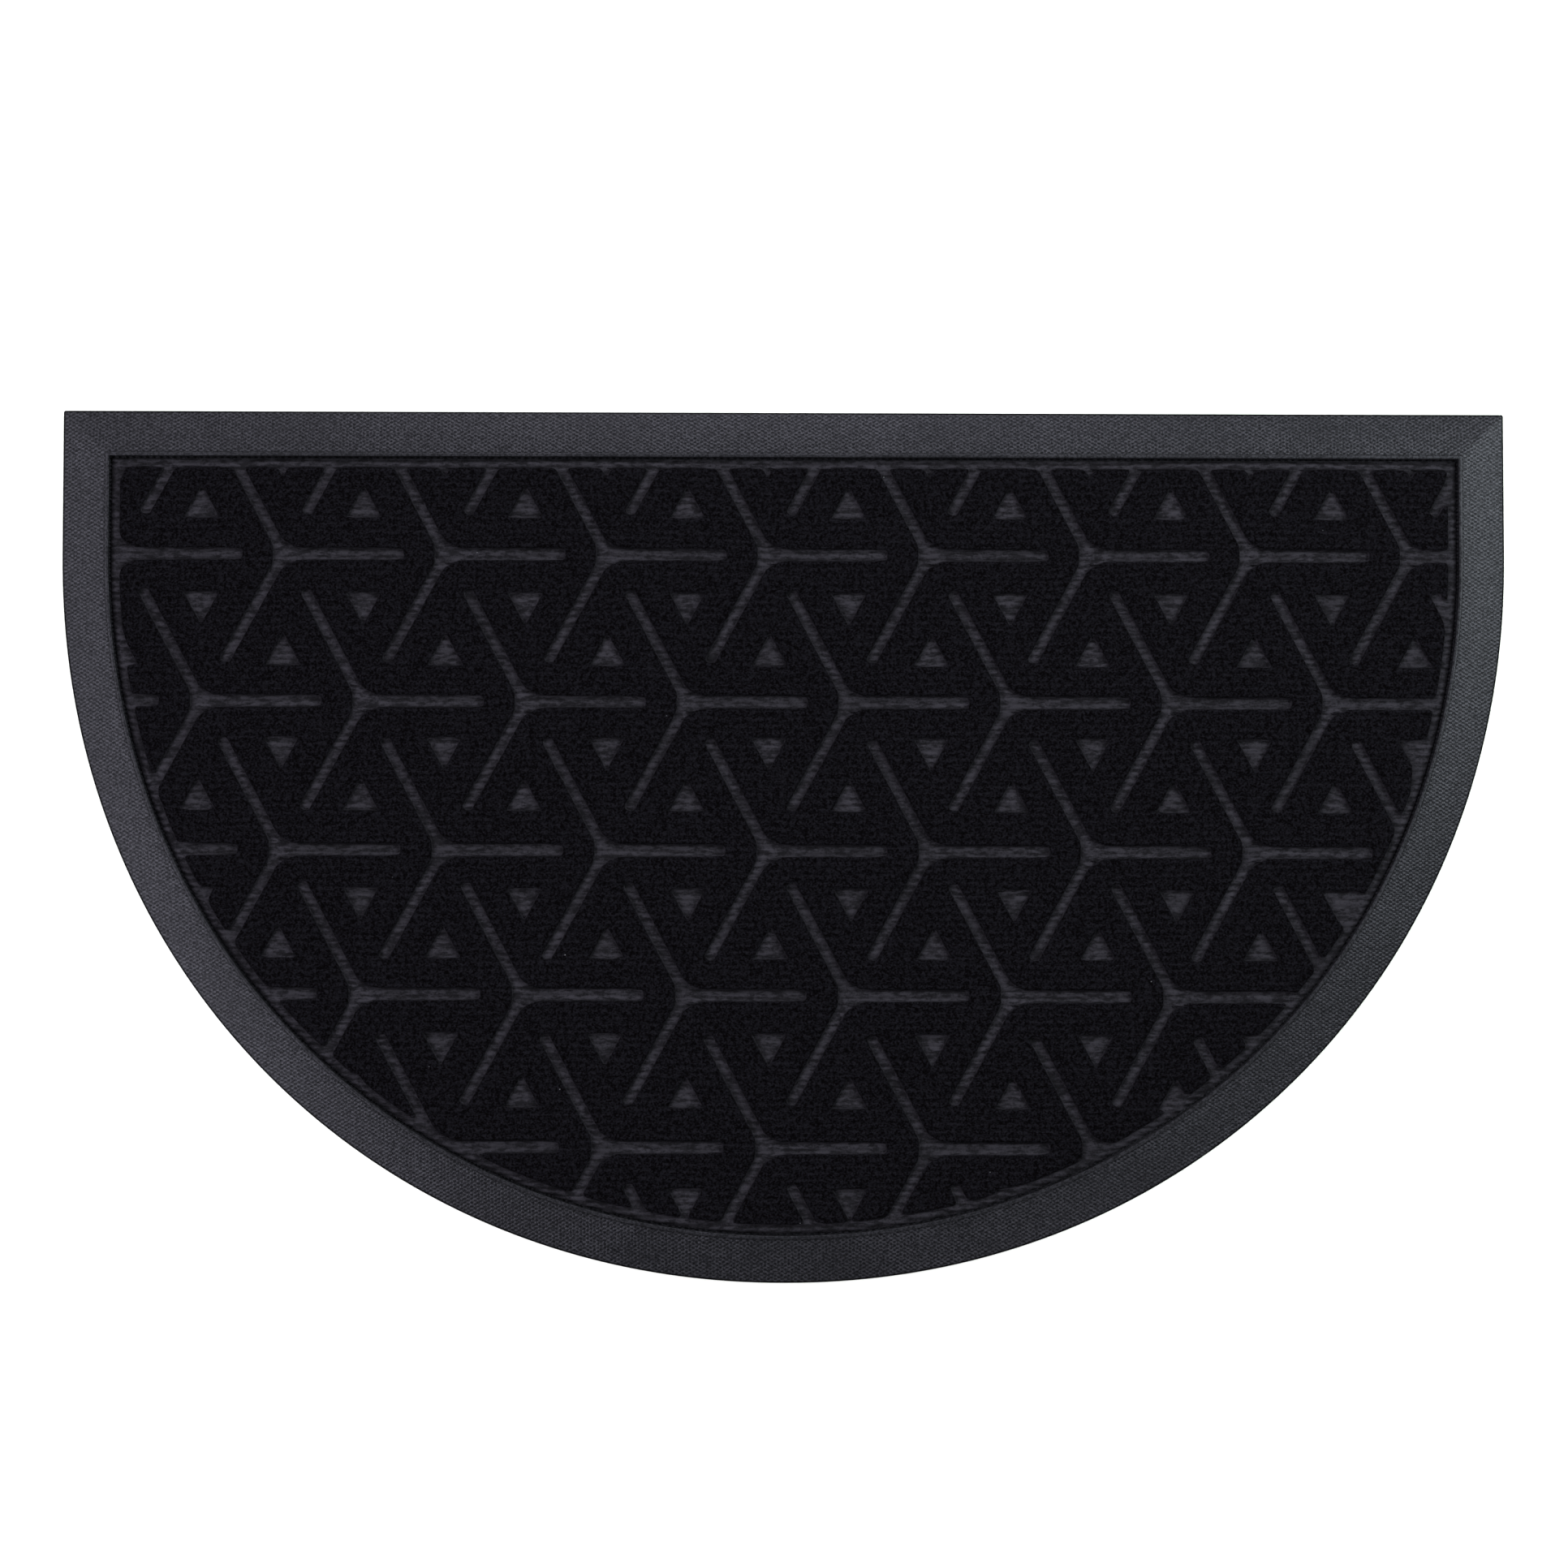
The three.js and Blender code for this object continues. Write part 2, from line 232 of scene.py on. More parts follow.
# Pressed pattern, as distances from the edge of what is pressed down: below zero is inside it
def round_union(a, b, radius):
    corner = np.hypot(np.maximum(radius - a, 0), np.maximum(radius - b, 0))
    return np.maximum(radius, np.minimum(a, b)) - corner


def round_overlap(a, b, radius):
    return -round_union(-a, -b, radius)


def arm_distance(x, y, arm):
    angle = math.radians(arm["angle"])
    along = x * math.cos(angle) + y * math.sin(angle)
    aside = np.abs(y * math.cos(angle) - x * math.sin(angle))
    past_ends = np.maximum(along - arm["length"], -along) + ARM_TIP_ROUND
    past_side = aside - arm["width"] / 2 + ARM_TIP_ROUND
    outside = np.hypot(np.maximum(past_ends, 0), np.maximum(past_side, 0))
    return outside + np.minimum(np.maximum(past_ends, past_side), 0) - ARM_TIP_ROUND


def star_distance(x, y):
    arms = [arm_distance(x, y, arm) for arm in ARMS]
    pairs = [round_union(arms[i], arms[(i + 1) % 3], ARM_BLEND) for i in range(3)]
    return np.minimum(np.minimum(pairs[0], pairs[1]), pairs[2])


def triangle_corners(tip):
    foot = -tip * TRIANGLE_HEIGHT / 3
    corners = [(-TRIANGLE_BASE / 2, foot), (TRIANGLE_BASE / 2, foot), (0, -2 * foot)]
    return [as_arrays(c) for c in (corners if tip > 0 else corners[::-1])]


def side_normal(corner, following):
    along = (following - corner) / np.hypot(*(following - corner))
    return as_arrays((along[1], -along[0]))


def polygon_distance(x, y, corners, rounding):
    sides = []
    for i, corner in enumerate(corners):
        out = side_normal(corner, corners[(i + 1) % len(corners)])
        sides.append((x - corner[0]) * out[0] + (y - corner[1]) * out[1])
    found = sides[0]
    for side in sides[1:]:
        found = round_overlap(found, side, rounding)
    return found


def corner_link(corner):
    out = corner / np.hypot(*corner)
    aside = as_arrays((-out[1], out[0])) * LINK_WIDTH / 2
    end = corner + out * (LINK_REACH + FLANGE)
    return [-aside, end - aside, end + aside, aside]


def side_link(corner, following):
    out = side_normal(corner, following) * (SIDE_REACH + FLANGE)
    return [as_arrays((0, 0)), corner, corner + out, following + out, following]


def triangle_shapes(place, tip):
    """A triangle, and the links that join it to the flange where it lies close to it."""
    corners = triangle_corners(tip)
    if not any(is_inside(place + c, PILE_INSET) for c in corners):
        return []
    shapes = [corners]
    for i, corner in enumerate(corners):
        following = corners[(i + 1) % 3]
        out = corner / np.hypot(*corner)
        if is_inside(place + corner, PILE_INSET):
            if not is_inside(place + corner + out * LINK_REACH, PILE_INSET):
                shapes.append(corner_link(corner))
        aside = side_normal(corner, following)
        ends = [place + corner, place + following]
        if all(is_inside(end, PILE_INSET) for end in ends):
            if not any(is_inside(end + aside * SIDE_REACH, PILE_INSET) for end in ends):
                shapes.append(side_link(corner, following))
    return shapes


def pattern_places():
    for row in PATTERN_ROWS:
        fall = ROW_FALL - FALL_GROWTH * row["height"]
        aside = math.ceil(WIDTH / 2 / MM / row["spacing"]) + 1
        for column in range(-aside, aside + 1):
            x = row["middle"] + column * row["spacing"]
            yield row["motif"], as_arrays((x, row["height"] - fall * x)) * MM


class PressedField:
    """Distance from the edge of the pressed parts on a grid of fine samples, a row for each mesh row."""

    def __init__(self, rows_y, sample_x):
        self.rows_y = rows_y
        self.sample_x = sample_x
        self.distance = np.full((len(rows_y), len(sample_x)), FAR)

    def stamp(self, place, reach, measure):
        rows = slice(*np.searchsorted(self.rows_y, (place[1] - reach, place[1] + reach)))
        columns = slice(*np.searchsorted(self.sample_x, (place[0] - reach, place[0] + reach)))
        if rows.start == rows.stop or columns.start == columns.stop:
            return
        x = self.sample_x[None, columns] - place[0]
        y = self.rows_y[rows, None] - place[1]
        before = self.distance[rows, columns]
        self.distance[rows, columns] = np.minimum(before, measure(x, y))

    def add_pattern(self):
        for motif, place in pattern_places():
            if motif == "star":
                self.stamp(place, LONGEST_ARM + REACH_OF_BLENDS, star_distance)
                continue
            for corners in triangle_shapes(place, 1 if motif == "up" else -1):
                self.stamp(
                    place,
                    TRIANGLE_BASE + REACH_OF_BLENDS,
                    lambda x, y, shape=corners: polygon_distance(x, y, shape, TRIANGLE_ROUND),
                )

    def add_flange(self):
        x, y = np.meshgrid(self.sample_x, self.rows_y)
        side = side_inset(x, y) - PILE_INSET
        straight = straight_inset(y) - PILE_INSET
        pile_edge = round_union(side, straight, PILE_CORNER)
        at_corner = (side < PILE_CORNER) & (straight < PILE_CORNER)
        near = np.where(at_corner, pile_edge, np.minimum(side, straight))
        self.distance = round_union(self.distance, near, RIM_BLEND)


def mesh_rows():
    """Where the rows lie along Y, equally many to a rib, from the round edge to the straight one."""
    low = -DEPTH / 2 + CARPET_INSET
    high = DEPTH / 2 - CARPET_INSET * STRAIGHT_SHARE
    spacing = RIB_PITCH / ROWS_PER_RIB
    first = math.ceil((low + spacing / 2) / spacing)
    last = math.floor((high - spacing / 2) / spacing)
    return np.concatenate([np.arange(first, last + 1) * spacing, [high]])


def crossings(values, positions, level):
    above = values > level
    at = np.nonzero(above[1:] != above[:-1])[0]
    share = (level - values[at]) / (values[at + 1] - values[at])
    return positions[at] + share * (positions[at + 1] - positions[at])


def row_positions(values, positions, y):
    """Where the points of one row go: its rounded ends, the pressed walls, and fill between them."""
    half = float(half_width_at(y, CARPET_INSET))
    inside = np.abs(positions) < half
    marks = [np.array([-half, half])]
    for share in RIM_SHARES:
        rounded = float(half_width_at(y, CARPET_INSET + RIM_RUN * share))
        if rounded > 0:
            marks.append(np.array([-rounded, rounded]))
    for level in (WALL_FOOT, WALL_SHOULDER, WALL_TOP):
        marks.append(crossings(values[inside], positions[inside], level))
    marks = np.unique(np.concatenate(marks))
    keep = np.concatenate([[True], np.diff(marks) > CLOSEST_MARKS])
    keep[-1] = True
    marks = marks[keep]
    filled = [marks[:1]]
    for a, b in zip(marks[:-1], marks[1:]):
        pieces = max(1, math.ceil((b - a) / FILL_SPACING))
        filled.append(np.linspace(a, b, pieces + 1)[1:])
    return np.concatenate(filled)


def wall_profile(distance):
    marks = [WALL_FOOT, WALL_SHOULDER, WALL_TOP]
    return np.interp(distance, marks, [0, SHOULDER_SHARE, 1])


def rib_share(x, y):
    """One on the crest of a rib and zero in the furrow between two."""
    wander = sum(w["reach"] * np.sin(math.tau * x / w["length"] + w["start"]) for w in RIB_WAVES)
    return 0.5 - 0.5 * np.cos(math.tau * (y + wander) / RIB_PITCH)


def carpet_height(distance, x, y):
    raised = wall_profile(distance)
    depth = PRESSED_RIB_DEPTH + (PILE_RIB_DEPTH - PRESSED_RIB_DEPTH) * raised
    from_rim = np.minimum(side_inset(x, y), straight_inset(y)) - CARPET_INSET
    fall = RIM_FALL * (1 - np.clip(from_rim / RIM_RUN, 0, 1)) ** RIM_CURVE
    return PRESSED_TOP + (PILE_TOP - PRESSED_TOP) * raised - depth * (1 - rib_share(x, y)) - fall


def strip_faces(lower, upper, lower_start, upper_start):
    """Triangles between two rows of points, walking along both by whichever next point comes first."""
    faces = []
    i = j = 0
    while i + 1 < len(lower) or j + 1 < len(upper):
        step_lower = j + 1 == len(upper) or (i + 1 < len(lower) and lower[i + 1] <= upper[j + 1])
        if step_lower:
            faces.append((lower_start + i, lower_start + i + 1, upper_start + j))
            i += 1
        else:
            faces.append((lower_start + i, upper_start + j + 1, upper_start + j))
            j += 1
    return faces


def carpet_surface():
    rows_y = mesh_rows()
    half = WIDTH / 2 - CARPET_INSET
    sample_x = np.arange(-half, half + SAMPLE_SPACING, SAMPLE_SPACING)
    field = PressedField(rows_y, sample_x)
    field.add_pattern()
    field.add_flange()
    first_half = half_width_at(rows_y[0], CARPET_INSET)
    cap_x = np.linspace(-first_half, first_half, CAP_POINTS)
    down = (1 - (np.abs(cap_x) / half) ** ROUNDNESS) ** (1 / ROUNDNESS)
    cap_y = CURVE_START - (CURVE_DEPTH - CARPET_INSET) * down
    cap_z = carpet_height(np.full(len(cap_x), -FLANGE), cap_x, cap_y)
    points = [np.stack([cap_x, cap_y, cap_z], 1)[1:-1]]
    faces = []
    row_x = cap_x[1:-1]
    start = 0
    for index, y in enumerate(rows_y):
        values = field.distance[index]
        x = row_positions(values, sample_x, y)
        z = carpet_height(np.interp(x, sample_x, values), x, y)
        following = start + len(row_x)
        faces += strip_faces(row_x, x, start, following)
        points.append(np.stack([x, np.full(len(x), y), z], 1))
        row_x = x
        start = following
    return np.concatenate(points), faces


def close_underside(obj, bottom):
    """The open rim is extruded down to the underside, which is then filled."""
    make_active(obj)
    bpy.ops.object.mode_set(mode="EDIT")
    bpy.ops.mesh.select_mode(type="EDGE")
    bpy.ops.mesh.select_all(action="DESELECT")
    bpy.ops.mesh.select_non_manifold(extend=False, use_boundary=True)
    bpy.ops.mesh.extrude_edges_move(TRANSFORM_OT_translate={"value": (0, 0, -PRESSED_TOP)})
    bpy.ops.object.mode_set(mode="OBJECT")
    for vertex in obj.data.vertices:
        if vertex.select:
            vertex.co.z = bottom
    bpy.ops.object.mode_set(mode="EDIT")
    bpy.ops.mesh.edge_face_add()
    bpy.ops.mesh.select_all(action="SELECT")
    bpy.ops.mesh.normals_make_consistent(inside=False)
    bpy.ops.object.mode_set(mode="OBJECT")


def make_carpet():
    points, faces = carpet_surface()
    mesh = bpy.data.meshes.new("pressed_carpet")
    mesh.from_pydata(points.tolist(), [], faces)
    carpet = bpy.data.objects.new("pressed_carpet", mesh)
    bpy.context.scene.collection.objects.link(carpet)
    close_underside(carpet, carpet_low.z)
    make_active(carpet)
    bpy.ops.object.shade_smooth_by_angle(angle=CARPET_SMOOTH_ANGLE)
    return carpet


# Tray section, from the underside over the border and down into the recess
def tray_rows():
    """Each row has an inset, a height, a corner radius and how open it is to light and wear: below one its
    colour is painted darker as shade, and it has less gloss and relief.
    """
    slope_end = BORDER - LIP_WIDTH
    rows = [
        # The cut outer edge has openness zero: its colour is painted a deeper black there, as shade along the
        # edge
        {"inset": SOFT_EDGE, "height": 0, "corner": SOFT_CORNER, "open": 0},
        {"inset": SOFT_EDGE / 3, "height": SOFT_EDGE / 3, "corner": OUTER_CORNER, "open": 0},
        {"inset": 0, "height": SOFT_EDGE, "corner": OUTER_CORNER, "open": 0},
        {"inset": 0, "height": EDGE_HEIGHT - SOFT_EDGE, "corner": OUTER_CORNER, "open": 0},
        {
            "inset": SOFT_EDGE / 3,
            "height": EDGE_HEIGHT - SOFT_EDGE / 3,
            "corner": OUTER_CORNER,
            "open": 0,
        },
        {"inset": SOFT_EDGE, "height": EDGE_HEIGHT, "corner": SOFT_CORNER, "open": 0},
    ]
    for share in SLOPE_SHARES:
        rise = share + SLOPE_CAMBER * math.sin(math.pi * share)
        rows.append({
            "inset": SOFT_EDGE + (slope_end - SOFT_EDGE) * share,
            "height": EDGE_HEIGHT + (CREST_HEIGHT - EDGE_HEIGHT) * rise,
            "corner": SOFT_CORNER,
            "open": CREASE_OPEN if share == 1 else 1,
        })
    rise = LIP_TOP - CREST_HEIGHT
    for share in np.linspace(0, 1, LIP_STEPS + 1)[1:]:
        turn = share * math.pi / 2
        rows.append({
            "inset": slope_end + SOFT_EDGE * (1 - math.cos(turn)),
            "height": CREST_HEIGHT + rise * math.sin(turn),
            "corner": SOFT_CORNER,
            "open": LIP_OPEN,
        })
    for share in np.linspace(0, 1, LIP_STEPS + 1):
        turn = share * math.pi / 2
        rows.append({
            "inset": BORDER - LIP_ROUND * (1 - math.sin(turn)),
            "height": CREST_HEIGHT + rise * math.cos(turn),
            "corner": SOFT_CORNER,
            "open": LIP_OPEN,
        })
    for inset, height in ((BORDER, WALL_SHADE), (BORDER + SOFT_EDGE, FLOOR)):
        rows.append({"inset": inset, "height": height, "corner": SOFT_CORNER, "open": RECESS_OPEN})
    return rows


def make_tray():
    """A flat disc takes the outline of the underside, and its rim is extruded from row to row."""
    deselect_all()
    rows = tray_rows()
    ring = outline_points(rows[0]["inset"], rows[0]["corner"])
    bpy.ops.mesh.primitive_circle_add(vertices=len(ring), fill_type="NGON", radius=WIDTH / 2)
    tray = bpy.context.active_object
    tray.name = "rubber_tray"
    tray.data.name = "rubber_tray"
    tray.data.attributes.new("open_face", "FLOAT", "POINT")
    place_ring(tray, ring, rows[0])
    for row in rows[1:]:
        bpy.ops.object.mode_set(mode="EDIT")
        bpy.ops.mesh.extrude_region_move(TRANSFORM_OT_translate={"value": (0, 0, SOFT_EDGE)})
        bpy.ops.object.mode_set(mode="OBJECT")
        place_ring(tray, outline_points(row["inset"], row["corner"]), row)
    bpy.ops.object.mode_set(mode="EDIT")
    bpy.ops.mesh.select_all(action="SELECT")
    bpy.ops.mesh.normals_make_consistent(inside=False)
    bpy.ops.object.mode_set(mode="OBJECT")
    bpy.ops.object.shade_smooth_by_angle(angle=TRAY_SMOOTH_ANGLE)
    return tray


def place_ring(obj, ring, row):
    """Moves the selected rim, which is in the outline's order, to its place in the section."""
    openness = obj.data.attributes["open_face"].data
    chosen = [v for v in obj.data.vertices if v.select]
    for vertex, (x, y) in zip(chosen, ring):
        vertex.co = (x, y, row["height"])
        openness[vertex.index].value = row["open"]


# Materials. The standard curve of screen colours is straight near black and a power above it.
CURVE_KNEE = 0.04045
CURVE_SLOPE = 12.92
CURVE_OFFSET = 0.055
CURVE_POWER = 2.4


def linear_channel(value):
    if value <= CURVE_KNEE:
        return value / CURVE_SLOPE
    return ((value + CURVE_OFFSET) / (1 + CURVE_OFFSET)) ** CURVE_POWER


def linear(hex_colour):
    channels = [int(hex_colour[i:i + 2], 16) / 255 for i in (1, 3, 5)]
    return tuple(linear_channel(value) for value in channels) + (1,)


def add_node(tree, kind, settings=None, inputs=None):
    """A node with its settings, and its inputs set to values or linked from other nodes' outputs."""
    node = tree.nodes.new(kind)
    for name, value in (settings or {}).items():
        setattr(node, name, value)
    for name, value in (inputs or {}).items():
        if isinstance(value, bpy.types.NodeSocket):
            tree.links.new(value, node.inputs[name])
        else:
            node.inputs[name].default_value = value
    return node


def new_material(name):
    material = bpy.data.materials.new(name)
    material.use_nodes = True
    tree = material.node_tree
    tree.nodes.clear()
    return material, tree


def finish_material(tree, shader):
    add_node(tree, "ShaderNodeOutputMaterial", inputs={"Surface": shader.outputs[0]})


def math_node(tree, operation, a, b=0.0, clamp=False):
    settings = {"operation": operation, "use_clamp": clamp}
    return add_node(tree, "ShaderNodeMath", settings, {0: a, 1: b}).outputs[0]


def weighted_sum(tree, a, share_a, b, share_b):
    first = math_node(tree, "MULTIPLY", a, share_a)
    return math_node(tree, "ADD", first, math_node(tree, "MULTIPLY", b, share_b))


# The two values and the two colours among the inputs of a mix node
MIX_VALUE_A = 2
MIX_VALUE_B = 3
MIX_COLOUR_A = 6
MIX_COLOUR_B = 7


def mix_colour(tree, share, a, b):
    node = add_node(tree, "ShaderNodeMix", {"data_type": "RGBA"}, {"Factor": share})
    for socket, value in ((node.inputs[MIX_COLOUR_A], a), (node.inputs[MIX_COLOUR_B], b)):
        if isinstance(value, bpy.types.NodeSocket):
            tree.links.new(value, socket)
        else:
            socket.default_value = value
    return node.outputs[2]


def mix_value(tree, share, a, b):
    inputs = {0: share, MIX_VALUE_A: a, MIX_VALUE_B: b}
    return add_node(tree, "ShaderNodeMix", {"data_type": "FLOAT"}, inputs).outputs[0]


def smooth_range(tree, value, low, high, to_low=0.0, to_high=1.0):
    settings = {"interpolation_type": "SMOOTHSTEP"}
    inputs = {"Value": value, "From Min": low, "From Max": high, "To Min": to_low, "To Max": to_high}
    return add_node(tree, "ShaderNodeMapRange", settings, inputs).outputs[0]


NOISE_ROUGHNESS = 0.6


def noise(tree, place, size, detail):
    inputs = {"Vector": place, "Scale": 1 / size, "Detail": detail, "Roughness": NOISE_ROUGHNESS}
    return add_node(tree, "ShaderNodeTexNoise", inputs=inputs).outputs[0]


# The real dimples lie 1.7 mm apart, too fine to show at the picture's size, so they are drawn coarser
DIMPLE_PITCH = 2.05 * MM


def dimple_wave(tree, place):
    """One in the middle of a dimple and minus one between two, on a hexagonal grid."""
    parts = add_node(tree, "ShaderNodeSeparateXYZ", inputs={0: place}).outputs
    swings = []
    for axis, pitch in (("X", DIMPLE_PITCH * math.sqrt(3)), ("Y", DIMPLE_PITCH)):
        turn = math_node(tree, "MULTIPLY", parts[axis], math.tau / pitch)
        swings.append(math_node(tree, "COSINE", turn))
    return math_node(tree, "MULTIPLY", swings[0], swings[1])


LINT_RARITY = (0.55, 0.9)  # only cells whose random shade is above this hold a speck
LINT_CORE = 0.4  # share of a speck's size that is solid
LINT_SIZE = 0.4 * MM


def lint_share(tree, place, spacing, size):
    """Stray specks: one in each few cells of a random pattern, of uneven size."""
    inputs = {"Vector": place, "Scale": 1 / spacing}
    cells = add_node(tree, "ShaderNodeTexVoronoi", inputs=inputs)
    picked = smooth_range(tree, cells.outputs["Color"], *LINT_RARITY)
    near = smooth_range(tree, cells.outputs["Distance"], size / spacing, LINT_CORE * size / spacing)
    return math_node(tree, "MULTIPLY", picked, near)


# Rubber
DIMPLE_RANGE = (0.75, -0.55)  # of the wave, from the foot of a dimple up to the face between them
BEAD_STARTS = 0.99 * LIP_OPEN  # openness from which on the bead of the lip has no dimples
BEAD_BETWEEN = 0.52
RUBBER_CLOUD = 60 * MM
RUBBER_CLOUD_RANGE = (0.35, 0.65)
RUBBER_CLOUD_SHARE = (0, 0.4)
RUBBER_GRAIN = 1.1 * MM
GRAIN_RANGE = (0.36, 0.64)
GRAIN_IN_BUMP = 0.8
WORN_GLOSS = (0.18, 0.33)
DIMPLE_GLOSS = (0.56, 1.0)
RUBBER_LINT_SPACING = 9 * MM
RUBBER_BUMP = 0.12 * MM
RUBBER_ROUGHNESS = 0.42
RUBBER_IOR = 1.52


def moulded_rubber():
    """Black synthetic rubber from an embossed mould: matt, a little grey, with rows of fine dimples."""
    material, tree = new_material("moulded_rubber")
    place = add_node(tree, "ShaderNodeTexCoord").outputs["Object"]
    # The cut outer edge is smooth and a deeper black than the embossed face, and the deeper black is also
    # painted shade for the dark line along the edge; the crease below the lip is painted darker as shade
    openness = add_node(tree, "ShaderNodeAttribute", {"attribute_name": "open_face"}).outputs["Fac"]
    between = smooth_range(tree, dimple_wave(tree, place), *DIMPLE_RANGE)
    between = mix_value(tree, smooth_range(tree, openness, 1, BEAD_STARTS), between, BEAD_BETWEEN)
    cloud = noise(tree, place, RUBBER_CLOUD, 3)
    grain = noise(tree, place, RUBBER_GRAIN, 2)
    patchy = smooth_range(tree, grain, *GRAIN_RANGE)
    # The dimples are painted darker than the face between them: painted shade in the pits
    dimple_shade_colour = mix_colour(tree, patchy, linear("#050506"), linear("#101013"))
    ground_colour = mix_colour(tree, patchy, linear("#121215"), linear("#2e2d33"))
    face = mix_colour(tree, between, dimple_shade_colour, ground_colour)
    clouded = smooth_range(tree, cloud, *RUBBER_CLOUD_RANGE, *RUBBER_CLOUD_SHARE)
    face = mix_colour(tree, clouded, face, linear("#0b0b0d"))
    lint = lint_share(tree, place, RUBBER_LINT_SPACING, LINT_SIZE)
    face = mix_colour(tree, lint, face, linear("#4a4a50"))
    colour = mix_colour(tree, openness, linear("#070708"), face)
    worn = smooth_range(tree, grain, *GRAIN_RANGE, *WORN_GLOSS)
    sheen = math_node(tree, "MULTIPLY", worn, smooth_range(tree, between, 0, 1, *DIMPLE_GLOSS))
    gloss = math_node(tree, "MULTIPLY", openness, sheen)
    height = math_node(tree, "ADD", between, math_node(tree, "MULTIPLY", grain, GRAIN_IN_BUMP))
    relief = {"Height": height, "Strength": openness, "Distance": RUBBER_BUMP}
    bump = add_node(tree, "ShaderNodeBump", inputs=relief)
    shader = add_node(
        tree,
        "ShaderNodeBsdfPrincipled",
        inputs={
            "Base Color": colour,
            "Roughness": RUBBER_ROUGHNESS,
            "IOR": RUBBER_IOR,
            "Specular IOR Level": gloss,
            "Specular Tint": linear("#edebff"),
            "Normal": bump.outputs[0],
        },
    )
    finish_material(tree, shader)
    return material


def rib_node(tree, x, y):
    """The same ribs as in the carpet's mesh: one on a crest, zero in a furrow."""
    shifted = y
    for wave in RIB_WAVES:
        turn = math_node(tree, "MULTIPLY_ADD", x, math.tau / wave["length"])
        turn.node.inputs[2].default_value = wave["start"]
        swing = math_node(tree, "MULTIPLY", math_node(tree, "SINE", turn), wave["reach"])
        shifted = math_node(tree, "ADD", shifted, swing)
    turn = math_node(tree, "MULTIPLY", shifted, math.tau / RIB_PITCH)
    swing = math_node(tree, "MULTIPLY", math_node(tree, "COSINE", turn), -0.5)
    return math_node(tree, "ADD", swing, 0.5)


# Carpet: sizes of its unevenness, and the shares in which they are mixed
RAISED_FROM = PRESSED_TOP + 0.15 * MM
RAISED_TO = PILE_TOP - 0.35 * MM
FIBRE = 1.0 * MM
TUFT = 2.4 * MM
STREAK = 1.8 * MM
STREAK_STRETCH = (0.35, 1, 1)
CARPET_CLOUD = 25 * MM
FIBRE_IN_PILE = 0.7
TUFT_IN_PILE = 0.3
PILE_RANGE = (0.37, 0.65)
CREST_RANGE = (0.0, 0.7)
PILE_FURROW_SHADE = (0.7, 1.0)
FIBRE_IN_PRESSED = 0.3
STREAK_IN_PRESSED = 0.7
LAID_RANGE = (0.36, 0.64)
FURROW_RANGE = (0.0, 0.6)
PRESSED_FURROW_SHADE = (0.7, 1.0)
CARPET_CLOUD_RANGE = (0.3, 0.7)
CARPET_CLOUD_SHARE = (0.0, 0.3)
TURN_FROM = PRESSED_TOP - RIM_FALL
TURN_TO = PRESSED_TOP - 0.25 * MM
RIM_SHADE_SHARE = (0.5, 1)
CARPET_LINT_SPACING = 14 * MM
TUFT_IN_BUMP = 0.8
CARPET_BUMP = 0.5 * MM
CARPET_BUMP_STRENGTH = 0.4
CARPET_ROUGHNESS = 0.95
CARPET_IOR = 1.49
CARPET_GLOSS = 0.03


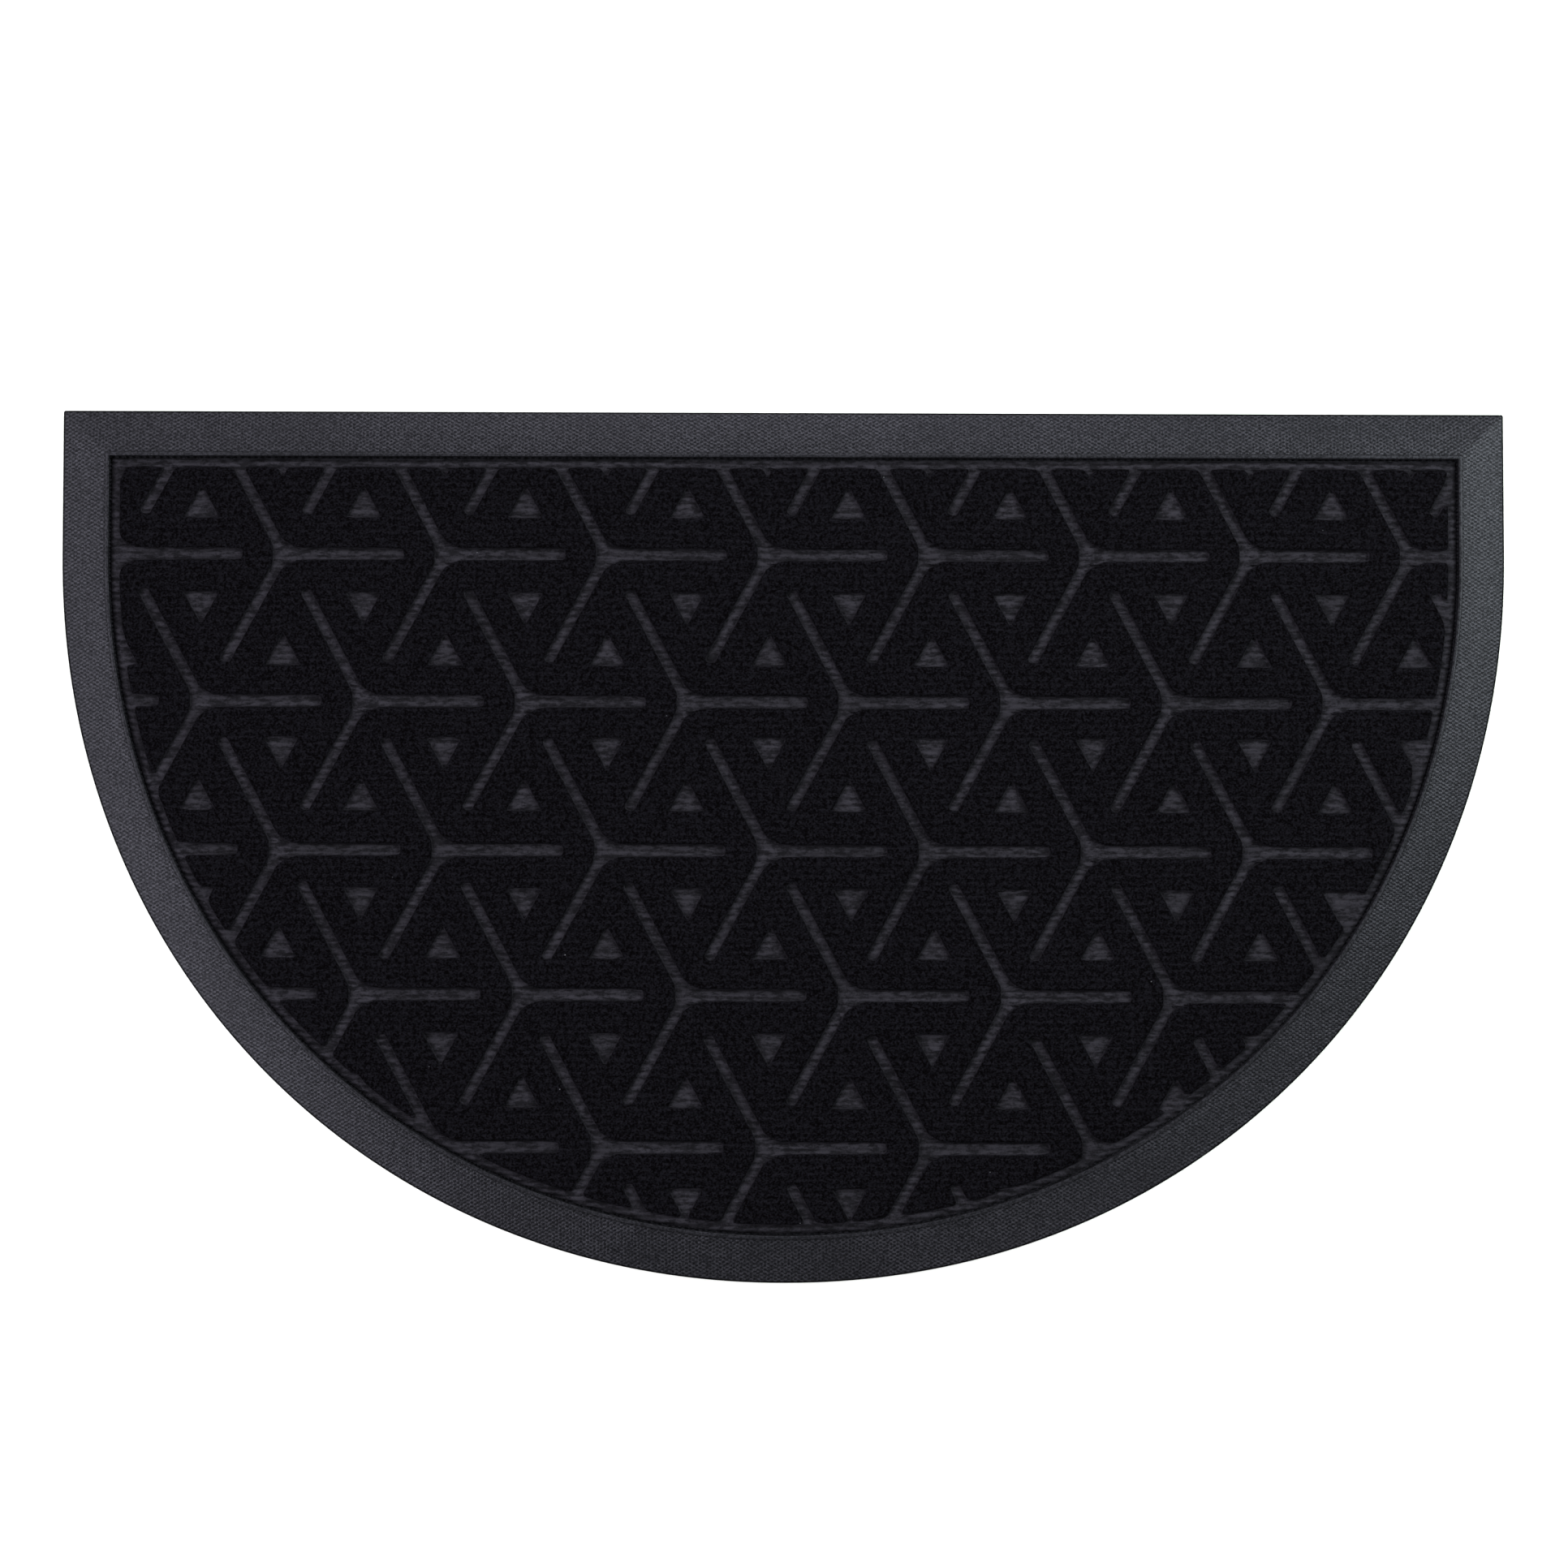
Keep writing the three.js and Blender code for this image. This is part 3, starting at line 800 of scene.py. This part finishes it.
def needled_carpet():
    """Black needle-punched carpet: the raised ribs drink the light, and what is pressed flat is grey."""
    material, tree = new_material("needled_carpet")
    place = add_node(tree, "ShaderNodeTexCoord").outputs["Object"]
    parts = add_node(tree, "ShaderNodeSeparateXYZ", inputs={0: place}).outputs
    raised = smooth_range(tree, parts["Z"], RAISED_FROM, RAISED_TO)
    rib = rib_node(tree, parts["X"], parts["Y"])
    fibre = noise(tree, place, FIBRE, 1)
    tuft = noise(tree, place, TUFT, 1)
    cloud = noise(tree, place, CARPET_CLOUD, 2)
    speck = weighted_sum(tree, fibre, FIBRE_IN_PILE, tuft, TUFT_IN_PILE)
    pile = mix_colour(tree, smooth_range(tree, speck, *PILE_RANGE), linear("#020102"), linear("#131217"))
    # The pile is painted darker in the furrows between the ribs: painted shade
    crest = smooth_range(tree, rib, *CREST_RANGE, *PILE_FURROW_SHADE)
    pile = mix_colour(tree, crest, linear("#010102"), pile)
    # Pressed fibres lie together in streaks along the ribs
    squeeze = {"operation": "MULTIPLY"}
    drawn_out = add_node(tree, "ShaderNodeVectorMath", squeeze, {0: place, 1: STREAK_STRETCH}).outputs[0]
    streak = noise(tree, drawn_out, STREAK, 1)
    laid = weighted_sum(tree, fibre, FIBRE_IN_PRESSED, streak, STREAK_IN_PRESSED)
    laid = smooth_range(tree, laid, *LAID_RANGE)
    pressed = mix_colour(tree, laid, linear("#17161a"), linear("#302e35"))
    # The pressed carpet is painted darker in the furrows too: painted shade
    furrow = smooth_range(tree, rib, *FURROW_RANGE, *PRESSED_FURROW_SHADE)
    pressed = mix_colour(tree, furrow, linear("#09080a"), pressed)
    shade = smooth_range(tree, cloud, *CARPET_CLOUD_RANGE, *CARPET_CLOUD_SHARE)
    pressed = mix_colour(tree, shade, pressed, linear("#161518"))
    # Towards the gap the flange turns down, and its colour is painted darker there: painted shade where the
    # lip shades it
    rim_shade = smooth_range(tree, parts["Z"], TURN_FROM, TURN_TO, *RIM_SHADE_SHARE)
    pressed = mix_colour(tree, rim_shade, linear("#020203"), pressed)
    colour = mix_colour(tree, raised, pressed, pile)
    lint = lint_share(tree, place, CARPET_LINT_SPACING, LINT_SIZE)
    colour = mix_colour(tree, lint, colour, linear("#626268"))
    height = math_node(tree, "ADD", fibre, math_node(tree, "MULTIPLY", tuft, TUFT_IN_BUMP))
    relief = {"Height": height, "Strength": CARPET_BUMP_STRENGTH, "Distance": CARPET_BUMP}
    bump = add_node(tree, "ShaderNodeBump", inputs=relief)
    shader = add_node(
        tree,
        "ShaderNodeBsdfPrincipled",
        inputs={
            "Base Color": colour,
            "Roughness": CARPET_ROUGHNESS,
            "IOR": CARPET_IOR,
            "Specular IOR Level": CARPET_GLOSS,
            "Normal": bump.outputs[0],
        },
    )
    finish_material(tree, shader)
    return material


FLOOR_ROUGHNESS = 0.9
FLOOR_GLOSS = 0.1
FLOOR_GLOW = 0.2


def studio_floor():
    """Plain matt white board, lit a little from below as a light table is."""
    material, tree = new_material("studio_floor")
    shader = add_node(
        tree,
        "ShaderNodeBsdfPrincipled",
        inputs={
            "Base Color": linear("#f9f9f9"),
            "Roughness": FLOOR_ROUGHNESS,
            "Specular IOR Level": FLOOR_GLOSS,
            "Emission Color": (1, 1, 1, 1),
            "Emission Strength": FLOOR_GLOW,
        },
    )
    finish_material(tree, shader)
    return material


def give_material(obj, material):
    obj.data.materials.clear()
    obj.data.materials.append(material)


# Stage. The powers of the lights began as a fit to the brightness of the photo, and were then changed.
FLOOR_SIZE = 12
FLOOR_DROP = 0.05 * MM  # the floor stays clear of the underside
WORLD_STRENGTH = 0.05
LARGE_BOX = {"reach": 1.45, "height": 1.7, "size": 1.2}
NEAR_BOX = {"reach": 1.05, "height": 0.9, "size": 0.5}
PLAIN_WHITE = "#ffffff"
COOL_WHITE = "#f3fff5"
SOFTBOXES = [
    {"name": "left_large", "box": LARGE_BOX, "bearing": 180, "power": 26.8, "tint": PLAIN_WHITE},
    {"name": "right_large", "box": LARGE_BOX, "bearing": 0, "power": 9.6, "tint": COOL_WHITE},
    {"name": "right_near", "box": NEAR_BOX, "bearing": 25, "power": 12.9, "tint": COOL_WHITE},
    {"name": "top_near", "box": NEAR_BOX, "bearing": 90, "power": 9.3, "tint": PLAIN_WHITE},
    {"name": "top_left_near", "box": NEAR_BOX, "bearing": 135, "power": 2.1, "tint": PLAIN_WHITE},
    {"name": "low_left_near", "box": NEAR_BOX, "bearing": 215, "power": 6, "tint": PLAIN_WHITE},
    {"name": "low_right_near", "box": NEAR_BOX, "bearing": 300, "power": 2, "tint": PLAIN_WHITE},
]


def make_floor():
    deselect_all()
    bpy.ops.mesh.primitive_plane_add(size=FLOOR_SIZE, location=(0, 0, -FLOOR_DROP))
    floor = bpy.context.active_object
    floor.name = "studio_floor"
    give_material(floor, studio_floor())


def make_camera():
    data = bpy.data.cameras.new("overhead")
    data.sensor_width = SENSOR
    data.lens = LENS
    camera = bpy.data.objects.new("overhead", data)
    camera.location = CAMERA_PLACE
    camera.rotation_euler = (CAMERA_TILT, CAMERA_YAW, CAMERA_ROLL)
    bpy.context.scene.collection.objects.link(camera)
    bpy.context.scene.camera = camera


def add_softbox(name, place, aim, size, power, tint):
    data = bpy.data.lights.new(name, "AREA")
    data.shape = "SQUARE"
    data.size = size
    data.energy = power
    data.color = linear(tint)[:3]
    light = bpy.data.objects.new(name, data)
    light.location = place
    light.rotation_euler = (Vector(aim) - Vector(place)).to_track_quat("-Z", "Y").to_euler()
    bpy.context.scene.collection.objects.link(light)


def light_studio():
    """Two large softboxes at the sides, and small ones nearer to the mat that light its border unevenly."""
    world = bpy.data.worlds.new("studio")
    world.use_nodes = True
    background = world.node_tree.nodes["Background"]
    background.inputs["Color"].default_value = (1, 1, 1, 1)
    background.inputs["Strength"].default_value = WORLD_STRENGTH
    bpy.context.scene.world = world
    for row in SOFTBOXES:
        turn = math.radians(row["bearing"])
        reach = row["box"]["reach"]
        place = (reach * math.cos(turn), reach * math.sin(turn), row["box"]["height"])
        add_softbox(row["name"], place, (0, 0, 0), row["box"]["size"], row["power"], row["tint"])


def main():
    make_camera()
    tray = make_tray()
    carpet = make_carpet()
    give_material(tray, moulded_rubber())
    give_material(carpet, needled_carpet())
    for piece, node, slot in ((tray, "rubber_base", "rubber"), (carpet, "carpet_inlay", "carpet")):
        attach(piece, "root")
        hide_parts(node)
    make_floor()
    light_studio()
    bpy.context.scene.view_settings.view_transform = "Standard"


main()
